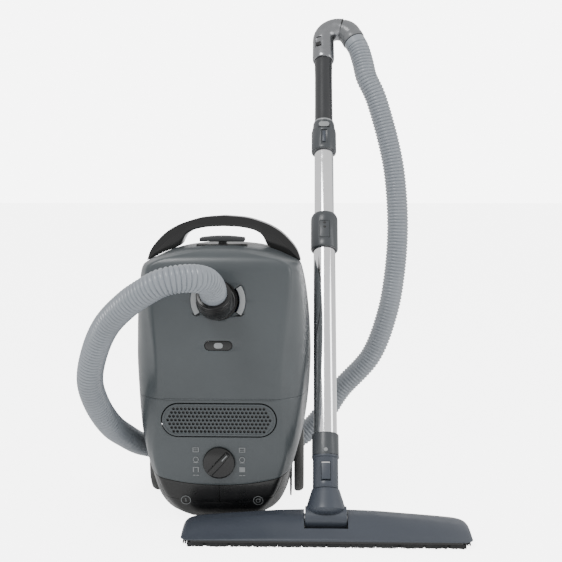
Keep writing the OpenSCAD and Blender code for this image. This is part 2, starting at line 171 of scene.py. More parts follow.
def plastic(name, colour, rough, grain=0.00001, grain_scale=900.0, coat=0.0, variation=0.05):
    material, shader = new_material(name, colour, rough, coat=coat)
    vary_colour(material, shader, colour, variation, 14.0)
    vary_roughness(material, shader, rough * 0.85, rough * 1.2, 40.0)
    add_bump(material, shader, grain_scale, grain)
    return material


def metal(name, colour, rough, stretch=(1.0, 1.0, 1.0), variation=0.03, grain=0.000004):
    material, shader = new_material(name, colour, rough, metallic=1.0)
    vary_colour(material, shader, colour, variation, 30.0)
    vary_roughness(material, shader, rough * 0.7, rough * 1.4, 120.0, stretch)
    add_bump(material, shader, 700.0, grain, stretch)
    return material


def fleece(name, colour):
    material, shader = new_material(name, colour, 0.95)
    vary_colour(material, shader, colour, 0.12, 220.0)
    add_bump(material, shader, 1500.0, 0.0004)
    shader.inputs["Sheen Weight"].default_value = 0.4
    return material


BODY = plastic("graphite_plastic", (0.052, 0.061, 0.066), 0.34, coat=0.1)
BLACK = plastic("black_plastic", (0.006, 0.006, 0.0062), 0.3, coat=0.1)
GLOSS_BLACK = plastic("gloss_black_plastic", (0.003, 0.003, 0.0032), 0.13, grain=0.000003, coat=0.1)
DARK = plastic("dark_grey_plastic", (0.03, 0.032, 0.034), 0.38, grain=0.00002)
COLLAR = plastic("collar_plastic", (0.045, 0.05, 0.055), 0.34, coat=0.05)
BRUSH_GREY = plastic("brush_plastic", (0.043, 0.051, 0.066), 0.38, coat=0.03)
GRIP = plastic("grip_plastic", (0.02, 0.021, 0.023), 0.28, coat=0.1)
SILVER = plastic("silver_plastic", (0.24, 0.25, 0.255), 0.35, coat=0.2)
# Grey for the printed signs, and also for a painted highlight strip on the knob's pointer ridge.
PRINT_AND_HIGHLIGHT_GREY = plastic("print_and_painted_highlight_grey", (0.2, 0.21, 0.215), 0.5)
WHEEL = plastic("wheel_plastic", (0.055, 0.055, 0.054), 0.45, grain=0.00003)
RUBBER = plastic("black_rubber", (0.008, 0.008, 0.008), 0.75, grain=0.00004, grain_scale=1500.0)
BRISTLE = plastic("bristles", (0.004, 0.004, 0.005), 0.6, variation=0.3)
CUFF = plastic("cuff_plastic", (0.13, 0.135, 0.14), 0.3, coat=0.2)
HOSE = plastic("hose_plastic", (0.24, 0.262, 0.288), 0.28, grain=0.000006, coat=0.2)
BLUE = plastic("blue_plastic", (0.05, 0.13, 0.42), 0.4)
BOARD = plastic("circuit_board", (0.015, 0.12, 0.05), 0.45, variation=0.25)
LACQUER = metal("metallic_lacquer", (0.26, 0.265, 0.275), 0.24)
CHROME = metal("polished_steel", (0.86, 0.86, 0.87), 0.1, stretch=(1.0, 1.0, 1.0))
STEEL = metal("bare_steel", (0.55, 0.55, 0.56), 0.3, stretch=(1.0, 1.0, 12.0), grain=0.00001)
CASING = metal("motor_casing", (0.58, 0.58, 0.59), 0.38, variation=0.08, grain=0.00002)
BAG = fleece("bag_fleece", (0.78, 0.75, 0.68))
FILTER = fleece("filter_fleece", (0.72, 0.72, 0.7))

CAD_LOOKS = {
    "lid_hinge_pin": BODY, "circuit_board": BOARD, "power_switch": BLACK, "motor": CASING,
    "fan_impeller": CASING, "motor_mounts": RUBBER, "dust_chamber": DARK, "bag_holder": BLUE,
    "reel_bracket": STEEL, "cable_reel": DARK, "rear_axles": STEEL, "castor_pin": STEEL,
    "shell_screws": STEEL, "tilt_pin": STEEL, "brush_sole": BLACK, "standing_feet": RUBBER,
    "castor_fork": BLACK, "castor_wheel": WHEEL, "cord_outlet": RUBBER, "parking_bracket": BLACK,
    "exhaust_filter": FILTER,
}


# ---------------------------------------------------------------- mesh helpers


def mesh_piece(name, points, faces, material, smooth=True, sharp=35.0):
    """A mesh object from points in metres."""
    mesh = bpy.data.meshes.new(name)
    mesh.from_pydata([tuple(p) for p in points], [], [tuple(f) for f in faces])
    mesh.validate()
    piece = bpy.data.objects.new(name, mesh)
    bpy.context.scene.collection.objects.link(piece)
    mesh.materials.append(material)
    tidy_normals(piece)
    if smooth:
        shade(piece, sharp)
    return piece


def tidy_normals(piece):
    work = bmesh.new()
    work.from_mesh(piece.data)
    bmesh.ops.recalc_face_normals(work, faces=work.faces)
    work.to_mesh(piece.data)
    work.free()


def shade(piece, sharp=35.0):
    """Smooth shading with a crease wherever two faces meet at more than an angle in degrees."""
    mesh = piece.data
    mesh.shade_smooth()
    work = bmesh.new()
    work.from_mesh(mesh)
    limit = math.radians(sharp)
    for edge in work.edges:
        edge.smooth = len(edge.link_faces) == 2 and edge.calc_face_angle(0.0) < limit
    work.to_mesh(mesh)
    work.free()


def apply_modifiers(piece):
    bpy.context.view_layer.update()
    done = bpy.data.meshes.new_from_object(piece.evaluated_get(bpy.context.evaluated_depsgraph_get()))
    old = piece.data
    piece.modifiers.clear()
    piece.data = done
    bpy.data.meshes.remove(old)


def loft(name, loops, place, material, caps=True, sharp=35.0):
    """A skin over closed loops with the same number of points, each point given to place()."""
    count = len(loops[0])
    points = [place(*p) for loop in loops for p in loop]
    faces = []
    for i in range(len(loops) - 1):
        for k in range(count):
            k2 = (k + 1) % count
            faces.append((i * count + k, i * count + k2, (i + 1) * count + k2, (i + 1) * count + k))
    if caps:
        faces.append(tuple(range(count)))
        faces.append(tuple((len(loops) - 1) * count + k for k in range(count)))
    return mesh_piece(name, points, faces, material, sharp=sharp)


def circle_points(radius, count=64):
    return [(radius * math.cos(a), radius * math.sin(a)) for a in np.linspace(0, 2 * math.pi, count, False)]


def lathe(name, profile, place, material, count=72, sharp=30.0):
    """A turned piece from (radius, height) points, outside then inside if it's hollow."""
    loops = [[(x, y, s) for x, y in circle_points(r, count)] for r, s in profile]
    hollow = profile[0] == profile[-1]
    if hollow:
        loops = loops[:-1]
    piece = loft(name, loops + ([loops[0]] if hollow else []), place, material, caps=not hollow, sharp=sharp)
    if hollow:
        weld(piece)
        shade(piece, sharp)
    return piece


def weld(piece, distance=0.00001):
    work = bmesh.new()
    work.from_mesh(piece.data)
    bmesh.ops.remove_doubles(work, verts=work.verts, dist=distance)
    bmesh.ops.recalc_face_normals(work, faces=work.faces)
    work.to_mesh(piece.data)
    work.free()


def plate(name, loops, place, material, depth, bevel=0.0, resolution=3):
    """A flat plate from closed outlines in millimetres (holes included), drawn in X and Z, facing -Y.
    Its middle plane is at y 0 and place() puts each point."""
    curve = bpy.data.curves.new(name, "CURVE")
    curve.dimensions = "2D"
    curve.fill_mode = "BOTH"
    curve.extrude = max(depth / 2 - bevel, 0.0)
    curve.bevel_depth = bevel
    curve.bevel_resolution = resolution
    curve.offset = -bevel
    for loop in loops:
        spline = curve.splines.new("POLY")
        spline.points.add(len(loop) - 1)
        for point, (x, z) in zip(spline.points, loop):
            point.co = (x, z, 0.0, 1.0)
        spline.use_cyclic_u = True
    drawn = bpy.data.objects.new(name + "_outline", curve)
    bpy.context.scene.collection.objects.link(drawn)
    bpy.context.view_layer.update()
    mesh = bpy.data.meshes.new_from_object(drawn.evaluated_get(bpy.context.evaluated_depsgraph_get()))
    points = [place(v.co.x, -v.co.z, v.co.y) for v in mesh.vertices]
    faces = [tuple(p.vertices) for p in mesh.polygons]
    bpy.data.objects.remove(drawn)
    bpy.data.curves.remove(curve)
    bpy.data.meshes.remove(mesh)
    piece = mesh_piece(name, points, faces, material)
    weld(piece)
    shade(piece, 40.0)
    return piece


def cut(piece, tool, mode="DIFFERENCE"):
    """Cuts a piece with a tool object, or keeps only what is inside it, and removes the tool."""
    step = piece.modifiers.new("cut", "BOOLEAN")
    step.object = tool
    step.operation = mode
    step.solver = "EXACT"
    step.use_hole_tolerant = True
    apply_modifiers(piece)
    old = tool.data
    bpy.data.objects.remove(tool)
    bpy.data.meshes.remove(old)
    return piece


def prism(outline, place, low, high, axis="y"):
    """A closed tool over an outline in millimetres: (x, z) run along y, or (y, z) run along x."""
    if axis == "y":
        loops = [[(x, end, z) for x, z in outline] for end in (low, high)]
    elif axis == "x":
        loops = [[(end, y, z) for y, z in outline] for end in (low, high)]
    else:
        loops = [[(x, y, end) for x, y in outline] for end in (low, high)]
    return loft("tool", loops, place, BLACK)


def bevel_edges(piece, width, segments=2, angle=40.0):
    step = piece.modifiers.new("bevel", "BEVEL")
    step.width = width
    step.segments = segments
    step.limit_method = "ANGLE"
    step.angle_limit = math.radians(angle)
    step.use_clamp_overlap = True
    step.harden_normals = False
    apply_modifiers(piece)
    shade(piece, 35.0)


def join(name, parts):
    """One object from several, which keep their own materials."""
    for part in parts:
        part.select_set(True)
    first = parts[0]
    with bpy.context.temp_override(active_object=first, selected_editable_objects=parts, object=first):
        bpy.ops.object.join()
    first.name = name
    first.select_set(False)
    return first


def settle(piece, body, *nodes):
    """Rides a piece on its body in place of CAD nodes, which it hides."""
    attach(piece, body)
    if nodes:
        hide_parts(*nodes)
    return piece


def smooth_line(xs, ys):
    """A smooth function through a few points that never overshoots them."""
    xs, ys = np.array(xs, float), np.array(ys, float)
    step, slope = np.diff(xs), np.diff(ys) / np.diff(xs)
    tangent = np.zeros_like(xs)
    tangent[0], tangent[-1] = slope[0], slope[-1]
    for i in range(1, len(xs) - 1):
        if slope[i - 1] * slope[i] > 0:
            tangent[i] = 2 * slope[i - 1] * slope[i] / (slope[i - 1] + slope[i])

    def value(x):
        i = int(np.clip(np.searchsorted(xs, x) - 1, 0, len(step) - 1))
        t = min(max((x - xs[i]) / step[i], 0.0), 1.0)
        return float(
            (2 * t**3 - 3 * t**2 + 1) * ys[i]
            + (t**3 - 2 * t**2 + t) * step[i] * tangent[i]
            + (3 * t**2 - 2 * t**3) * ys[i + 1]
            + (t**3 - t**2) * step[i] * tangent[i + 1]
        )

    return value


# ---------------------------------------------------------------- camera, light and floor


def make_camera():
    camera_data = bpy.data.cameras.new("camera")
    camera = bpy.data.objects.new("camera", camera_data)
    bpy.context.scene.collection.objects.link(camera)
    camera.location = (0.0146, -1.5228, 0.4996)
    camera.rotation_euler = (math.radians(90.0 - 5.58), 0.0, math.radians(1.588))
    camera_data.lens = 61.1
    camera_data.sensor_width = 36.0
    bpy.context.scene.camera = camera


def area_light(name, place, target, size, power, colour=(1.0, 1.0, 1.0)):
    light = bpy.data.lights.new(name, "AREA")
    light.shape = "RECTANGLE"
    light.size, light.size_y = size
    light.energy = power
    light.color = colour
    lamp = bpy.data.objects.new(name, light)
    bpy.context.scene.collection.objects.link(lamp)
    lamp.location = place
    lamp.rotation_euler = (Vector(target) - Vector(place)).to_track_quat("-Z", "Y").to_euler()


def seen_brighter(tree, lit, seen):
    """A strength for lighting the object, and a higher one for what the camera sees behind it."""
    path = tree.nodes.new("ShaderNodeLightPath")
    span = tree.nodes.new("ShaderNodeMapRange")
    span.inputs["To Min"].default_value = lit
    span.inputs["To Max"].default_value = seen
    tree.links.new(path.outputs["Is Camera Ray"], span.inputs["Value"])
    return span.outputs["Result"]


def make_studio():
    floor_material, shader = new_material("floor_white", (0.93, 0.93, 0.93), 0.6)
    add_bump(floor_material, shader, 60.0, 0.0001)
    shader.inputs["Emission Color"].default_value = (1.0, 1.0, 1.0, 1.0)
    floor_material.node_tree.links.new(seen_brighter(floor_material.node_tree, 0.15, 5.0),
                                       shader.inputs["Emission Strength"])
    size = 30.0
    floor = mesh_piece("floor", [(-size, -size, 0), (size, -size, 0), (size, size, 0), (-size, size, 0)],
                       [(0, 1, 2, 3)], floor_material, smooth=False)
    world = bpy.data.worlds.new("studio")
    bpy.context.scene.world = world
    world.use_nodes = True
    sky = world.node_tree.nodes["Background"]
    sky.inputs["Color"].default_value = (1.0, 1.0, 1.0, 1.0)
    world.node_tree.links.new(seen_brighter(world.node_tree, 1.0, 7.0), sky.inputs["Strength"])
    area_light("key", (-0.9, -1.5, 2.3), (0.0, 0.0, 0.3), (0.9, 0.9), 34.0)
    area_light("side", (2.2, -0.6, 1.0), (0.0, 0.0, 0.4), (0.5, 1.6), 12.0)


make_camera()
make_studio()


# ---------------------------------------------------------------- hose

HOSE_DIAMETER = 0.038
HOSE_ROUTE = [
    (-0.114, -0.228, 0.355), (-0.115, -0.243, 0.366), (-0.121, -0.261, 0.376), (-0.134, -0.279, 0.381),
    (-0.154, -0.289, 0.381), (-0.176, -0.291, 0.376), (-0.200, -0.283, 0.363), (-0.226, -0.269, 0.345),
    (-0.258, -0.243, 0.314), (-0.281, -0.216, 0.274), (-0.296, -0.186, 0.226), (-0.294, -0.151, 0.182),
    (-0.282, -0.111, 0.141), (-0.273, -0.036, 0.104), (-0.266, 0.029, 0.076), (-0.256, 0.089, 0.054),
    (-0.232, 0.127, 0.036), (-0.194, 0.147, 0.024), (-0.154, 0.151, 0.021), (-0.114, 0.151, 0.022),
    (-0.054, 0.153, 0.032), (0.006, 0.159, 0.058), (0.046, 0.163, 0.098), (0.076, 0.164, 0.142),
    (0.128, 0.165, 0.201), (0.156, 0.167, 0.274), (0.169, 0.169, 0.346), (0.174, 0.171, 0.428),
    (0.169, 0.173, 0.512), (0.157, 0.176, 0.578), (0.135, 0.180, 0.654), (0.118, 0.186, 0.692),
    (0.112, 0.194, 0.718), (0.105, 0.203, 0.743), (0.0974, 0.2116, 0.7582),
]
# Where each stretch of hose ends along the route, and the two bodies it runs between, which are not used.
HOSE_STRETCHES = [
    (0.0, 0.134, "elbow", "lid"), (0.134, 0.27, "lid", "canister"), (0.27, 0.47, "canister", "floor_brush"),
    (0.47, 0.603, "floor_brush", "knuckle"), (0.603, 0.736, "knuckle", "lower_wand"),
    (0.736, 0.868, "lower_wand", "upper_wand"), (0.868, 1.0, "upper_wand", "cuff"),
]
RIB_PITCH = 0.0056


def spline_points(route, per_span=24):
    """Points close together on the smooth curve through the route."""
    p = [np.array(q) for q in route]
    out = []
    for i in range(len(p) - 1):
        a, b, c, d = p[max(i - 1, 0)], p[i], p[i + 1], p[min(i + 2, len(p) - 1)]
        for t in np.linspace(0, 1, per_span, False):
            out.append(0.5 * (2 * b + (c - a) * t + (2 * a - 5 * b + 4 * c - d) * t**2
                              + (3 * b - a - 3 * c + d) * t**3))
    return np.array(out + [p[-1]])


def even_points(points, count):
    """The same line with evenly spaced points."""
    along = np.concatenate([[0], np.cumsum(np.linalg.norm(np.diff(points, axis=0), axis=1))])
    wanted = np.linspace(0, along[-1], count)
    return np.stack([np.interp(wanted, along, points[:, k]) for k in range(3)], 1), along[-1]


def turned_frames(line):
    """Directions across a line that don't twist along it."""
    heading = np.gradient(line, axis=0)
    heading /= np.linalg.norm(heading, axis=1)[:, None]
    across = np.array([1.0, 0.0, 0.0])
    sides = []
    for h in heading:
        across = across - h * across.dot(h)
        across /= np.linalg.norm(across)
        sides.append(across.copy())
    sides = np.array(sides)
    return heading, sides, np.cross(heading, sides)


def rib_radius(distance, length):
    """Rounded ribs with narrow valleys, plain for the last short sleeve at each end."""
    phase = (distance / RIB_PITCH) % 1.0
    rib = abs(math.sin(math.pi * phase)) ** 0.7
    edge = min(distance, length - distance)
    depth = 0.0024 if edge > 0.012 else 0.0
    return HOSE_DIAMETER / 2 - depth * (1 - rib)


def make_hose():
    rings_per_rib = 6
    sides_count = 48
    smooth, length = even_points(spline_points(HOSE_ROUTE), 4000)
    ribs = round(length / RIB_PITCH)
    line, length = even_points(smooth, ribs * rings_per_rib + 1)
    _, side, up = turned_frames(line)
    distance = np.linspace(0, length, len(line))
    turns = np.linspace(0, 2 * math.pi, sides_count, False)
    declared = []
    for number, (start, end, body_a, body_b) in enumerate(HOSE_STRETCHES, 1):
        first = round(start * ribs) * rings_per_rib
        last = round(end * ribs) * rings_per_rib
        points, faces = [], []
        for i in range(first, last + 1):
            radius = rib_radius(distance[i], length)
            for turn in turns:
                points.append(line[i] + radius * (math.cos(turn) * side[i] + math.sin(turn) * up[i]))
        for i in range(last - first):
            for k in range(sides_count):
                k2 = (k + 1) % sides_count
                a, b = i * sides_count, (i + 1) * sides_count
                faces.append((a + k, a + k2, b + k2, b + k))
        piece = mesh_piece(f"hose_part_{number}", points, faces, HOSE, sharp=80.0)
        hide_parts("hose")
        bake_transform(piece)
        path = [tuple(line[i]) for i in range(first, last + 1, rings_per_rib)]
        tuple(path[0])
        declared.append(piece)
    print(f"hose length {length:.3f} m")
    return declared


make_hose()


# ---------------------------------------------------------------- canister form

CROWN = 0.6
HALF_WIDTH = smooth_line(
    [3, 5, 9, 16, 30, 48, 70, 100, 150, 200, 245, 290, 335, 370, 388, 397, 403.5, 409, 412.5, 414],
    [58, 68, 78, 88, 97, 103, 107, 115.5, 127.5, 133, 135, 133.5, 129.5, 123.5, 117.5, 100, 86, 70, 48, 24])
FRONT_Y = smooth_line([3, 6, 10, 28, 50, 75, 100, 380, 392, 400, 406, 410, 414],
                      [46, 36, 26, 12, 4, 0.6, 0, 0, 2, 6, 13, 22, 42])
BACK_Y = smooth_line([3, 5, 18, 45, 370, 390, 402, 409, 414], [176, 188, 206, 214, 214, 210, 202, 190, 172])
CREASE_X = smooth_line([3, 20, 64, 110, 165, 189, 388, 414], [30, 58, 84, 95, 88, 86, 104, 10])
FLANK_Y = smooth_line([3, 64, 165, 270, 388, 414], [30, 28, 22, 34, 26, 8])


def rounded_section(corners, per_arc=9, per_side=6):
    """A closed outline from (x, y, rounding) corners, with the same number of points for the same corners."""
    out = []
    count = len(corners)
    for i in range(count):
        before, here, after = corners[i - 1], corners[i], corners[(i + 1) % count]
        a, b, c = np.array(before[:2]), np.array(here[:2]), np.array(after[:2])
        reach_in = min(here[2], 0.48 * np.linalg.norm(b - a))
        reach_out = min(here[2], 0.48 * np.linalg.norm(c - b))
        p = b + (a - b) / max(np.linalg.norm(a - b), 1e-6) * reach_in
        q = b + (c - b) / max(np.linalg.norm(c - b), 1e-6) * reach_out
        for t in np.linspace(0, 1, per_arc):
            out.append((1 - t) ** 2 * p + 2 * t * (1 - t) * b + t * t * q)
        d = np.array(after[:2])
        reach_next = min(after[2], 0.48 * np.linalg.norm(d - b))
        r = d + (b - d) / max(np.linalg.norm(b - d), 1e-6) * reach_next
        for t in np.linspace(0, 1, per_side + 2)[1:-1]:
            out.append(q + (r - q) * t)
    return out


def body_section(z, inset=0.0):
    """The canister's plan at a height, as points (x, y) that start at the right crease."""
    w = max(HALF_WIDTH(z) - inset, 4.0)
    f = FRONT_Y(z) + inset
    b = BACK_Y(z) - inset
    crease = min(CREASE_X(z), 0.86 * w)
    flank = FLANK_Y(z)
    depth = b - f
    right = [
        (crease, f + 1.0, 7.0), (0.5 * (crease + w) + 0.22 * (w - crease), f + min(flank, 0.2 * depth), 22.0),
        (w, f + 0.44 * depth, 60.0), (w - 1.5, f + 0.7 * depth, 50.0),
        (w * 0.86, b - 2, 40.0), (w * 0.4, b, 30.0),
    ]
    left = [(-x, y, r) for x, y, r in reversed(right)]
    points = rounded_section(right + left)

    def lift(x, y):
        return 0.0 if y > f + 30 else CROWN * max(0.0, 1 - (x / max(crease, 1)) ** 2)

    return [(x, y - lift(x, y), z) for x, y in points]


def body_levels():
    low = [3, 3.6, 4.6, 6, 8, 10.5, 13.5, 17, 21, 26, 31, 37, 43, 50, 57]
    high = [378, 383, 388, 392, 396, 399.5, 402.5, 405, 407, 409, 410.5, 411.8, 412.8, 413.5, 414]
    return low + list(np.linspace(64, 373, 70)) + high


def body_mesh(inset=0.0):
    levels = body_levels()
    if inset:
        levels = [max(3 + inset, min(z, 414 - inset)) for z in levels]
        levels = sorted(set(round(z, 3) for z in levels))
    return loft("body", [body_section(z, inset) for z in levels], canister_point, BODY)


def hollow_body(wall=2.8):
    outer = body_mesh()
    inner = body_mesh(wall)
    return cut(outer, inner)


def pedal_seam(x):
    """Height of the curved line between the cover and the black pedal section."""
    return 64.5 + 17.0 * (abs(x) / 105.0) ** 2.2


def seam_outline(offset, z_far, reach=150.0):
    xs = np.linspace(-reach, reach, 61)
    return [(x, pedal_seam(min(max(x, -125), 125)) + offset) for x in xs] + [(reach, z_far), (-reach, z_far)]


def box_outline(x0, x1, z0, z1):
    return [(x0, z0), (x1, z0), (x1, z1), (x0, z1)]


def stadium_outline(w, h, z, x=0.0, count=24):
    out = []
    for side, start in ((1, -90), (-1, 90)):
        for a in np.linspace(start, start + 180, count):
            a = math.radians(a)
            out.append((x + side * (w - h) / 2 + h / 2 * math.cos(a), z + h / 2 * math.sin(a)))
    return out


def ring_outline(radius, x, z, count=48):
    return [(x + px, z + pz) for px, pz in circle_points(radius, count)]


def sector_outline(r_in, r_out, centre_z, half_angle, turn, count=16):
    angles = [math.radians(turn + a) for a in np.linspace(-half_angle, half_angle, count)]
    outer = [(r_out * math.cos(a), centre_z + r_out * math.sin(a)) for a in angles]
    inner = [(r_in * math.cos(a), centre_z + r_in * math.sin(a)) for a in reversed(angles)]
    return outer + inner


SEAM_GAP = 0.45


BESIDE = 160.0  # past either side of the body


def keep_depth(piece, front, back):
    """Keeps what lies between two depths of the body."""
    outline = [(front, -10), (back, -10), (back, 430), (front, 430)]
    cut(piece, prism(outline, canister_point, -200, 200, "x"), "INTERSECT")


def keep_front(piece, low, high):
    """Keeps the part of the face that lies between two heights."""
    outline = box_outline(-BESIDE, BESIDE, low, high)
    cut(piece, prism(outline, canister_point, -30, FRONT_DEPTH), "INTERSECT")


def cut_face(piece, outline):
    """Cuts an outline through the front wall."""
    cut(piece, prism(outline, canister_point, -30, 30))


def make_lid():
    piece = hollow_body()
    keep_front(piece, SEAM_Z, 430)
    cut_face(piece, ring_outline(29.2, 0, SOCKET_Z))
    for turn in (0, 180):
        cut_face(piece, sector_outline(27, 40.4, SOCKET_Z, 35, turn))
    cut_face(piece, stadium_outline(41, 14.5, INDICATOR_Z))
    cut(piece, prism(box_outline(-7, 7, 400, 430), canister_point, 77, 87))
    bevel_edges(piece, 0.00025, 2)
    piece.name = "lid_shell"
    settle(piece, "lid", "lid")


def make_cover():
    piece = hollow_body()
    keep_front(piece, 60, SEAM_Z - 0.4)
    cut(piece, prism(seam_outline(SEAM_GAP, 0.0), canister_point, -40, FRONT_DEPTH + 5))
    cut_face(piece, stadium_outline(170, 51, GRILLE_Z))
    cut_face(piece, ring_outline(17, 0, KNOB_Z))
    bevel_edges(piece, 0.00025, 2)
    piece.name = "rear_cover_shell"
    settle(piece, "canister", "rear_cover")


def make_pedals():
    frame_piece = hollow_body()
    cut(frame_piece, prism(seam_outline(-SEAM_GAP, 200.0), canister_point, -40, FRONT_DEPTH + 5))
    keep_front(frame_piece, 0, 140)
    cut(frame_piece, prism(seam_outline(-28.0, 200.0), canister_point, -40, 13))
    bevel_edges(frame_piece, 0.0007)
    frame_piece.data.materials[0] = BLACK
    frame_piece.name = "pedal_surround"
    settle(frame_piece, "canister", "pedal_frame")
    for name, side, body in (("power_pedal", -1, "pedal_power"), ("rewind_pedal", 1, "pedal_rewind")):
        pad = body_mesh()
        cut(pad, prism(seam_outline(-SEAM_GAP, 200.0), canister_point, -40, 120))
        cut(pad, prism(seam_outline(-27.6, -20.0), canister_point, -40, 120))
        low, high = (0.35, 150) if side > 0 else (-150, -0.35)
        cut(pad, prism(box_outline(low, high, 0, 200), canister_point, -30, 11.5), "INTERSECT")
        bevel_edges(pad, 0.0009)
        pad.data.materials[0] = BLACK
        pad.name = name + "_pad"
        settle(pad, body, name)


def make_tub():
    piece = hollow_body()
    keep_depth(piece, TUB_Y, 240)
    wheel_z = middle("rear_wheel_left").z / MM
    wheel_y = (middle("rear_wheel_left").y - CANISTER.y) / MM
    arch = [(wheel_y + y, wheel_z + z) for y, z in circle_points(58, 72)]
    for low, high in ((104, 160), (-160, -104)):
        cut(piece, prism(arch, canister_point, low, high, "x"))
    castor_z = (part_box("castor_fork")[0][2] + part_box("castor_fork")[1][2]) / 2 / MM
    cut(piece, prism(ring_outline(27, 0, castor_z), canister_point, 190, 230))
    bevel_edges(piece, 0.0007)
    cups = []
    liner = [(60.5, 0), (60.5, 2.5), (58, 2.5), (58, 2.4), (0.5, 2.4), (0.5, 0)]
    for side in (-1, 1):

        def beside_wheel(x, y, s, side=side):
            return canister_point(side * (101.5 + s), wheel_y + x, wheel_z + y)

        cups.append(lathe("arch_liner", liner, beside_wheel, DARK))
    cup = [(27, 213), (27, 197), (8, 197), (8, 194.5), (29, 194.5), (29, 212.5), (27, 213)]
    liner = lathe("castor_cup", cup, lambda x, y, s: canister_point(x, s, castor_z + y), DARK)
    piece = join("tub_shell", [piece] + cups + [liner])
    settle(piece, "canister", "base_shell")
    strip = hollow_body(4.5)
    keep_depth(strip, FRONT_DEPTH + 0.4, TUB_Y - 0.2)
    shrink(strip, 0.985)
    strip.data.materials[0] = RUBBER
    strip.name = "lid_gasket"
    settle(strip, "canister", "lid_seal")


def shrink(piece, factor):
    """Scales a canister piece in X and Z about the body's middle."""
    centre = canister_point(0, 0, 208)
    for vertex in piece.data.vertices:
        vertex.co.x = centre.x + (vertex.co.x - centre.x) * factor
        vertex.co.z = centre.z + (vertex.co.z - centre.z) * factor


def on_face(x, y, z):
    """A point on the canister's front, y behind it."""
    lift = CROWN * max(0.0, 1 - (x / 88.0) ** 2)
    return canister_point(x, FRONT_Y(z) - lift + y, z)


def sweep(name, line, outer, inner, material, count=56, sharp=35.0):
    """A hollow tube along a line of points in metres, with a radius in millimetres at each point."""
    line = np.array([tuple(p) for p in line])
    _, side, up = turned_frames(line)
    turns = np.linspace(0, 2 * math.pi, count, False)
    order = [(i, outer[i]) for i in range(len(line))] + [(i, inner[i]) for i in reversed(range(len(line)))]
    points, faces = [], []
    for i, radius in order:
        for turn in turns:
            points.append(line[i] + MM * radius * (math.cos(turn) * side[i] + math.sin(turn) * up[i]))
    total = len(order)
    for i in range(total):
        a, b = i * count, (i + 1) % total * count
        for k in range(count):
            k2 = (k + 1) % count
            faces.append((a + k, a + k2, b + k2, b + k))
    return mesh_piece(name, points, faces, material, sharp=sharp)


# ---------------------------------------------------------------- canister details


def make_handle():
    outer = smooth_line([0, 31, 62, 85, 105, 114, 118.5], [457.5, 455, 446.5, 434.5, 415.5, 402, 388.5])
    inner = smooth_line([0, 22, 44, 57, 62, 66, 71, 85, 101, 117],
                        [441, 440, 436, 429.5, 423, 414, 409.5, 404, 397, 389])
    xs = [118.5 * math.sin(math.radians(a)) for a in np.linspace(0, 90, 40)]
    right = [(x, outer(x)) for x in xs]
    xs = [117 * math.sin(math.radians(a)) for a in np.linspace(0, 88, 60)]
    back = [(x, inner(x)) for x in reversed(xs)]
    mirrored = [(-x, z) for x, z in reversed(back)] + [(-x, z) for x, z in reversed(right[1:])]
    outline = right + back[:-1] + mirrored
    piece = prism(outline, canister_point, 98.3, 141.7)
    piece.name = "carry_handle_arch"
    piece.data.materials[0] = GLOSS_BLACK
    bevel_edges(piece, 0.0028, 4, 50)
    settle(piece, "canister", "carry_handle")


def make_latch():
    xs = np.linspace(-34, 34, 25)
    outline = [(x, 419.0) for x in reversed(xs)] + [(x, 427.6 - 2.6 * (x / 34) ** 2) for x in xs]
    tab = prism(outline, canister_point, 68.3, 92.7)
    bevel_edges(tab, 0.0014, 3)
    tab.data.materials[0] = DARK
    stem = prism(box_outline(-6, 6, 400.5, 419.5), canister_point, 78, 86)
    stem.data.materials[0] = DARK
    piece = join("lid_latch_tab", [tab, stem])
    settle(piece, "latch", "lid_latch")
    # A black plate on the lid under the latch tab stands in for the tab's shadow: painted shadow.
    painted_shadow_plate = prism(box_outline(-38, 38, 412.8, 415.2), canister_point, 62, 95)
    painted_shadow_plate.data.materials[0] = BLACK
    painted_shadow_plate.name = "latch_painted_shadow"
    cut(painted_shadow_plate, prism(box_outline(-7, 7, 400, 430), canister_point, 77, 87))
    bevel_edges(painted_shadow_plate, 0.0006)
    settle(painted_shadow_plate, "lid")


def make_socket():
    profile = [(24.3, 0.6), (25.2, -0.5), (28.0, -0.7), (28.8, 0.4), (28.8, 13.4), (24.3, 13.4), (24.3, 0.6)]
    ring = lathe("socket_bezel", profile, lambda x, y, s: canister_point(x, s, SOCKET_Z + y), BLACK)
    settle(ring, "lid", "socket_ring")
    straight = [(0, y, 0) for y in (13.6, 8, 2, -1, -1.6, -3, -8, -9, -10, -16, -22, -28, -34)]
    wide = [23.9, 23.9, 23.9, 23.9, 25.6, 26.0, 26.0, 25.4, 24.4, 24.2, 24.1, 24.0, 23.9]
    bend = 34.0
    for a in np.linspace(5, 40, 10):
        a = math.radians(a)
        straight.append((0, -34 - bend * math.sin(a), bend * (1 - math.cos(a))))
        wide.append(23.8)
    end, slope = straight[-1], math.radians(40)
    rings = [(1, 23.9), (1.6, 24.7), (4, 24.7), (4.4, 23.9), (5.4, 23.9), (5.8, 24.7), (8.4, 24.7),
             (8.8, 23.9), (9.8, 23.9), (10.2, 24.6), (13.2, 24.4), (13.8, 23.2)]
    for d, r in rings:
        straight.append((0, end[1] - d * math.cos(slope), end[2] + d * math.sin(slope)))
        wide.append(r)
    line = [canister_point(x, y, SOCKET_Z + z) for x, y, z in straight]
    piece = sweep("hose_elbow_body", line, wide, [19.6] * len(line), BLACK)
    settle(piece, "elbow", "hose_elbow")
    for node, turn in (("elbow_button_left", 180), ("elbow_button_right", 0)):
        button = plate(node + "_cap", [sector_outline(31.3, 39.7, SOCKET_Z, 33, turn)],
                       lambda x, y, z: canister_point(x, y + 2.0, z), SILVER, 8.0, 1.0)
        settle(button, node.replace("elbow_", ""), node)


